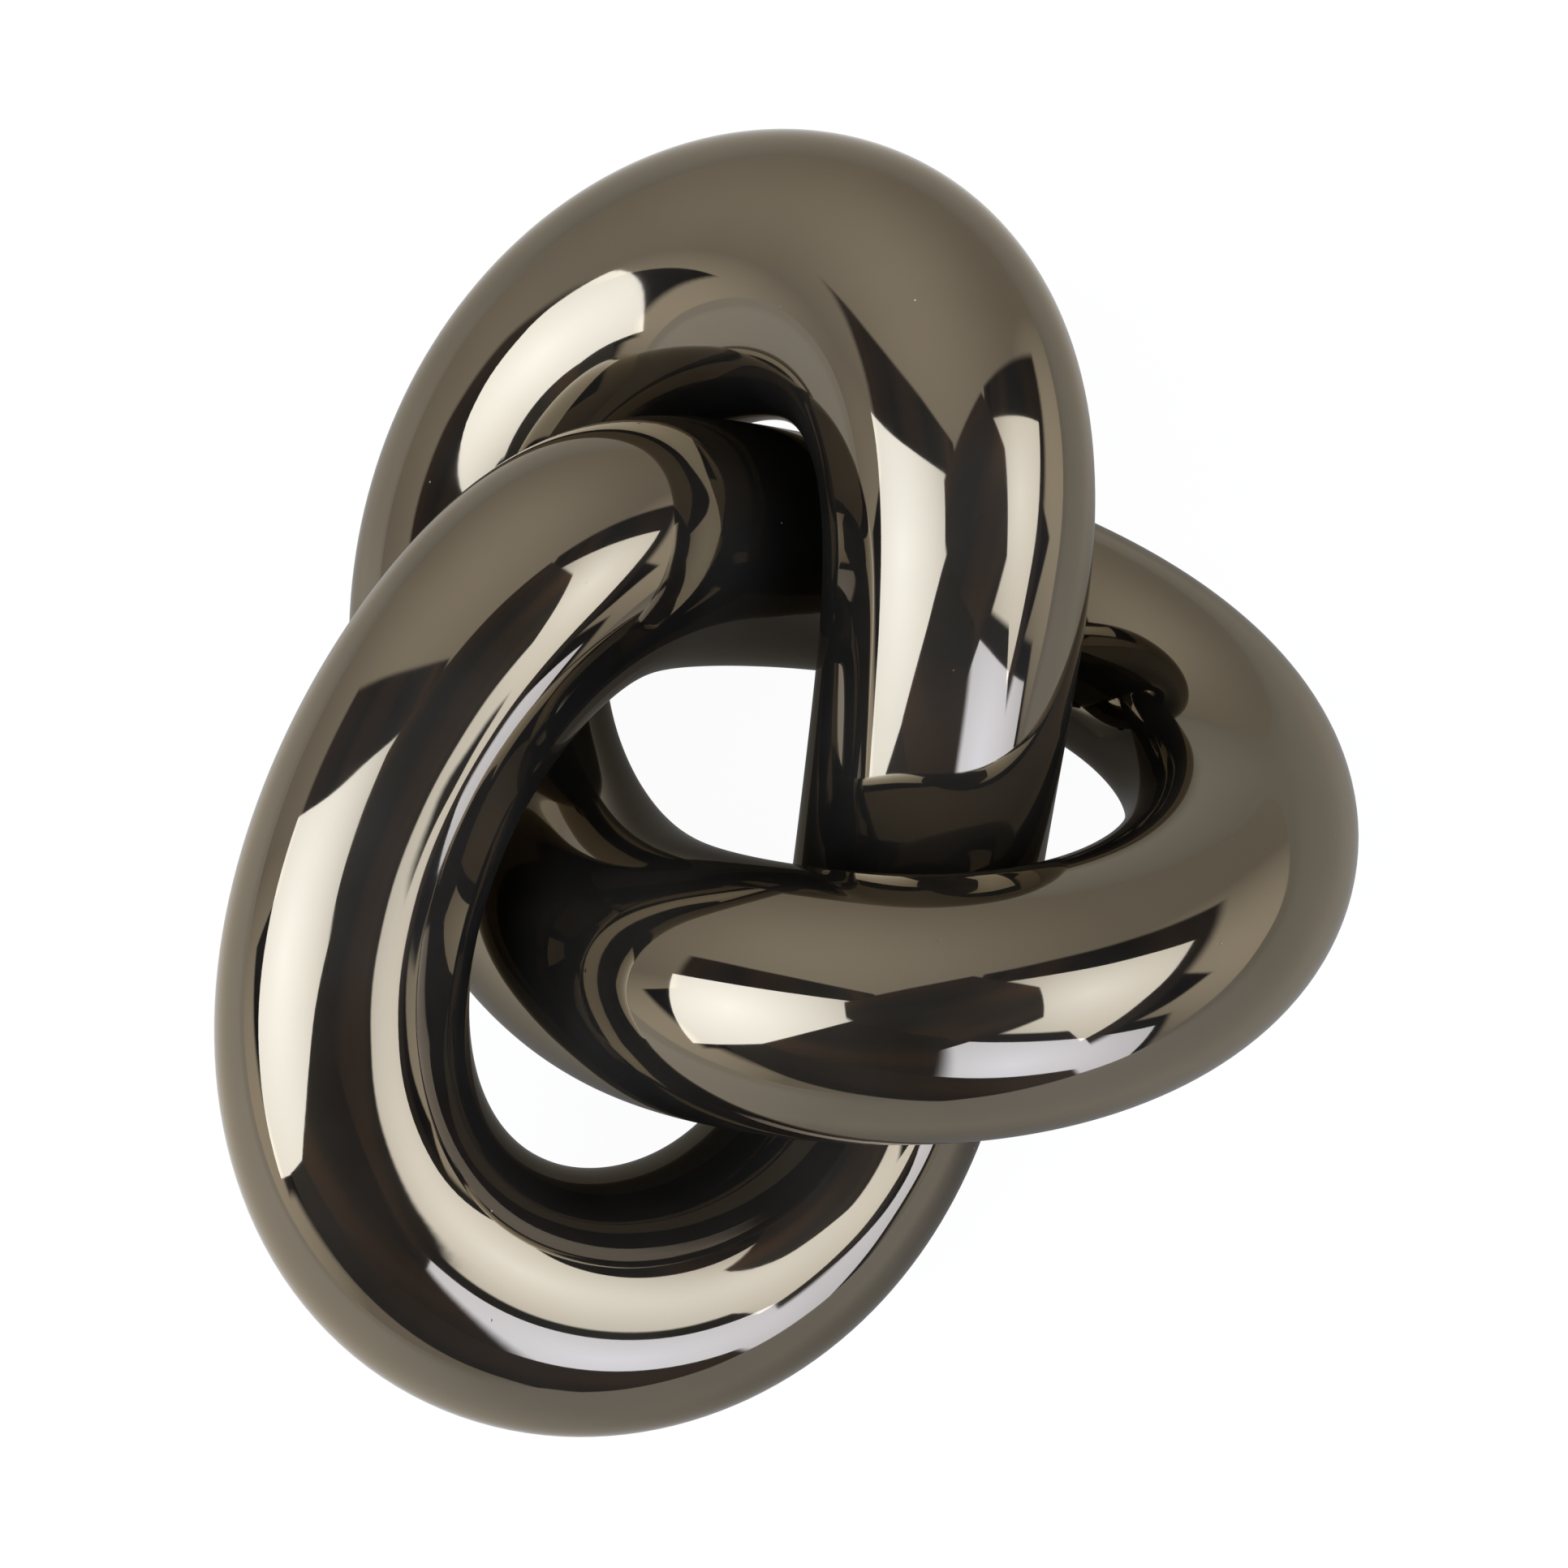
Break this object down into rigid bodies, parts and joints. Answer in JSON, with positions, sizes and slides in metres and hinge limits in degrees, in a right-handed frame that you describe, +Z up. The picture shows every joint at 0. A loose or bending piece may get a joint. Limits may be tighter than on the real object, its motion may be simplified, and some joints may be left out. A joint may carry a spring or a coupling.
{
  "type": "metal knot sculpture",
  "caption": "Hollow mirror-finish metal tube tied in an endless three-lobed knot, lying on its lobes as a table ornament or paperweight.",
  "frame": {"origin": "on the table under the middle of the knot's outer box", "axes": "+Z up from the table, +Y towards the rear lobe and away from someone in front, +X to the right"},
  "size_m": [0.1408, 0.1648, 0.0795],
  "materials": {
    "plated_metal": "mirror-polished dark nickel plate",
    "sleeve_steel": "mill finish",
    "pad_rubber": "soft matte",
    "plug_plastic": "matte black"
  },
  "bodies": {
    "root": {"rear_bend_upper_shell": "plated_metal", "rear_bend_lower_shell": "plated_metal", "rear_to_left_run_upper_shell": "plated_metal", "rear_to_left_run_lower_shell": "plated_metal", "left_bend_upper_shell": "plated_metal", "left_bend_lower_shell": "plated_metal", "left_to_right_run_upper_shell": "plated_metal", "left_to_right_run_lower_shell": "plated_metal", "right_bend_upper_shell": "plated_metal", "right_bend_lower_shell": "plated_metal", "right_to_rear_run_upper_shell": "plated_metal", "right_to_rear_run_lower_shell": "plated_metal", "rear_bend_sleeve": "sleeve_steel", "rear_to_left_run_sleeve": "sleeve_steel", "left_bend_sleeve": "sleeve_steel", "left_to_right_run_sleeve": "sleeve_steel", "right_bend_sleeve": "sleeve_steel", "right_to_rear_run_sleeve": "sleeve_steel", "left_pad": "pad_rubber", "front_pad": "pad_rubber", "right_pad": "pad_rubber", "drain_plug": "plug_plastic"}
  },
  "joints": []
}
